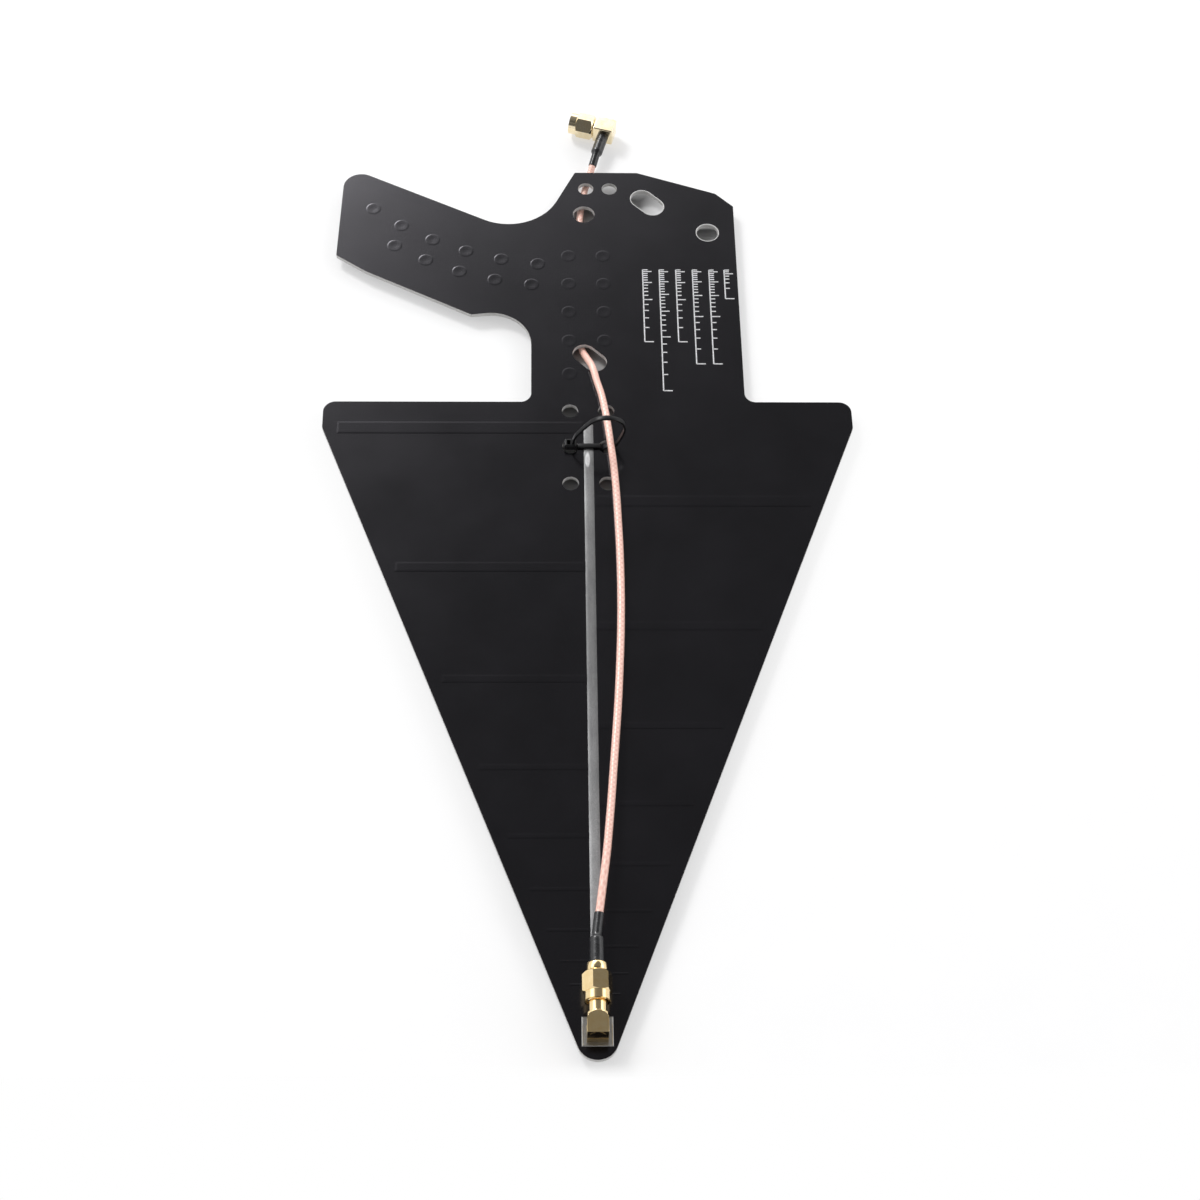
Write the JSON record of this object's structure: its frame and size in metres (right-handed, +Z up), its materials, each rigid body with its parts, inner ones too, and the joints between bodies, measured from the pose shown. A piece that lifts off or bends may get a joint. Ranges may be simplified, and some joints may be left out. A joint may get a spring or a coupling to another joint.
{
  "type": "log-periodic antenna",
  "caption": "Pistol-shaped circuit board with a triangular log-periodic dipole array, a coax jack at the tip and a short coax lead to a right-angle plug; held by its grip.",
  "frame": {"origin": "on the table, under the middle of the board's outline, on the boom line", "axes": "+Y from the feed tip to the top edge, +Z up from the table, X across the elements with the grip at -X"},
  "size_m": [0.183, 0.3792, 0.0209],
  "materials": {
    "solder_mask": "satin black mask on glass-epoxy laminate",
    "masked_copper": "satin black mask over copper",
    "tinned_copper": "hot-tinned, slightly uneven",
    "gold_plate": "bright gold plate over turned brass",
    "gold_contact": "gold plate",
    "white_insulator": "waxy white",
    "solder": "bright solder",
    "gasket_rubber": "soft ring",
    "shrink_sleeve": "satin shrink sleeve",
    "lead_jacket": "clear tinted jacket over braid",
    "black_nylon": "moulded nylon"
  },
  "bodies": {
    "antenna": {"circuit_board": "solder_mask", "front_elements": "masked_copper", "back_elements": "masked_copper", "boom_strip": "tinned_copper", "feed_land": "tinned_copper", "grip_dots": "masked_copper", "jack_body": "gold_plate", "jack_cap": "gold_plate", "jack_insulator": "white_insulator", "jack_contact": "gold_contact", "jack_solder": "solder", "plug_body": "gold_plate", "plug_nut": "gold_plate", "plug_snap_ring": "gold_contact", "plug_gasket": "gasket_rubber", "plug_insulator": "white_insulator", "plug_pin": "gold_contact", "plug_ferrule": "gold_contact", "plug_sleeve": "shrink_sleeve", "coax_cable": "lead_jacket", "elbow_sleeve": "shrink_sleeve", "elbow_ferrule": "gold_contact", "elbow_body": "gold_plate", "elbow_cap": "gold_plate", "elbow_insulator": "white_insulator", "elbow_pin": "gold_contact", "elbow_gasket": "gasket_rubber", "elbow_snap_ring": "gold_contact", "cable_tie": "black_nylon"},
    "free_nut": {"elbow_nut": "gold_plate"}
  },
  "joints": [
    {"name": "nut_spin", "type": "hinge", "parent": "antenna", "child": "free_nut", "pos_m": [-0.00226, 0.19964, 0.00475], "axis": [-0.9588, 0.284, 0], "continuous": true}
  ]
}
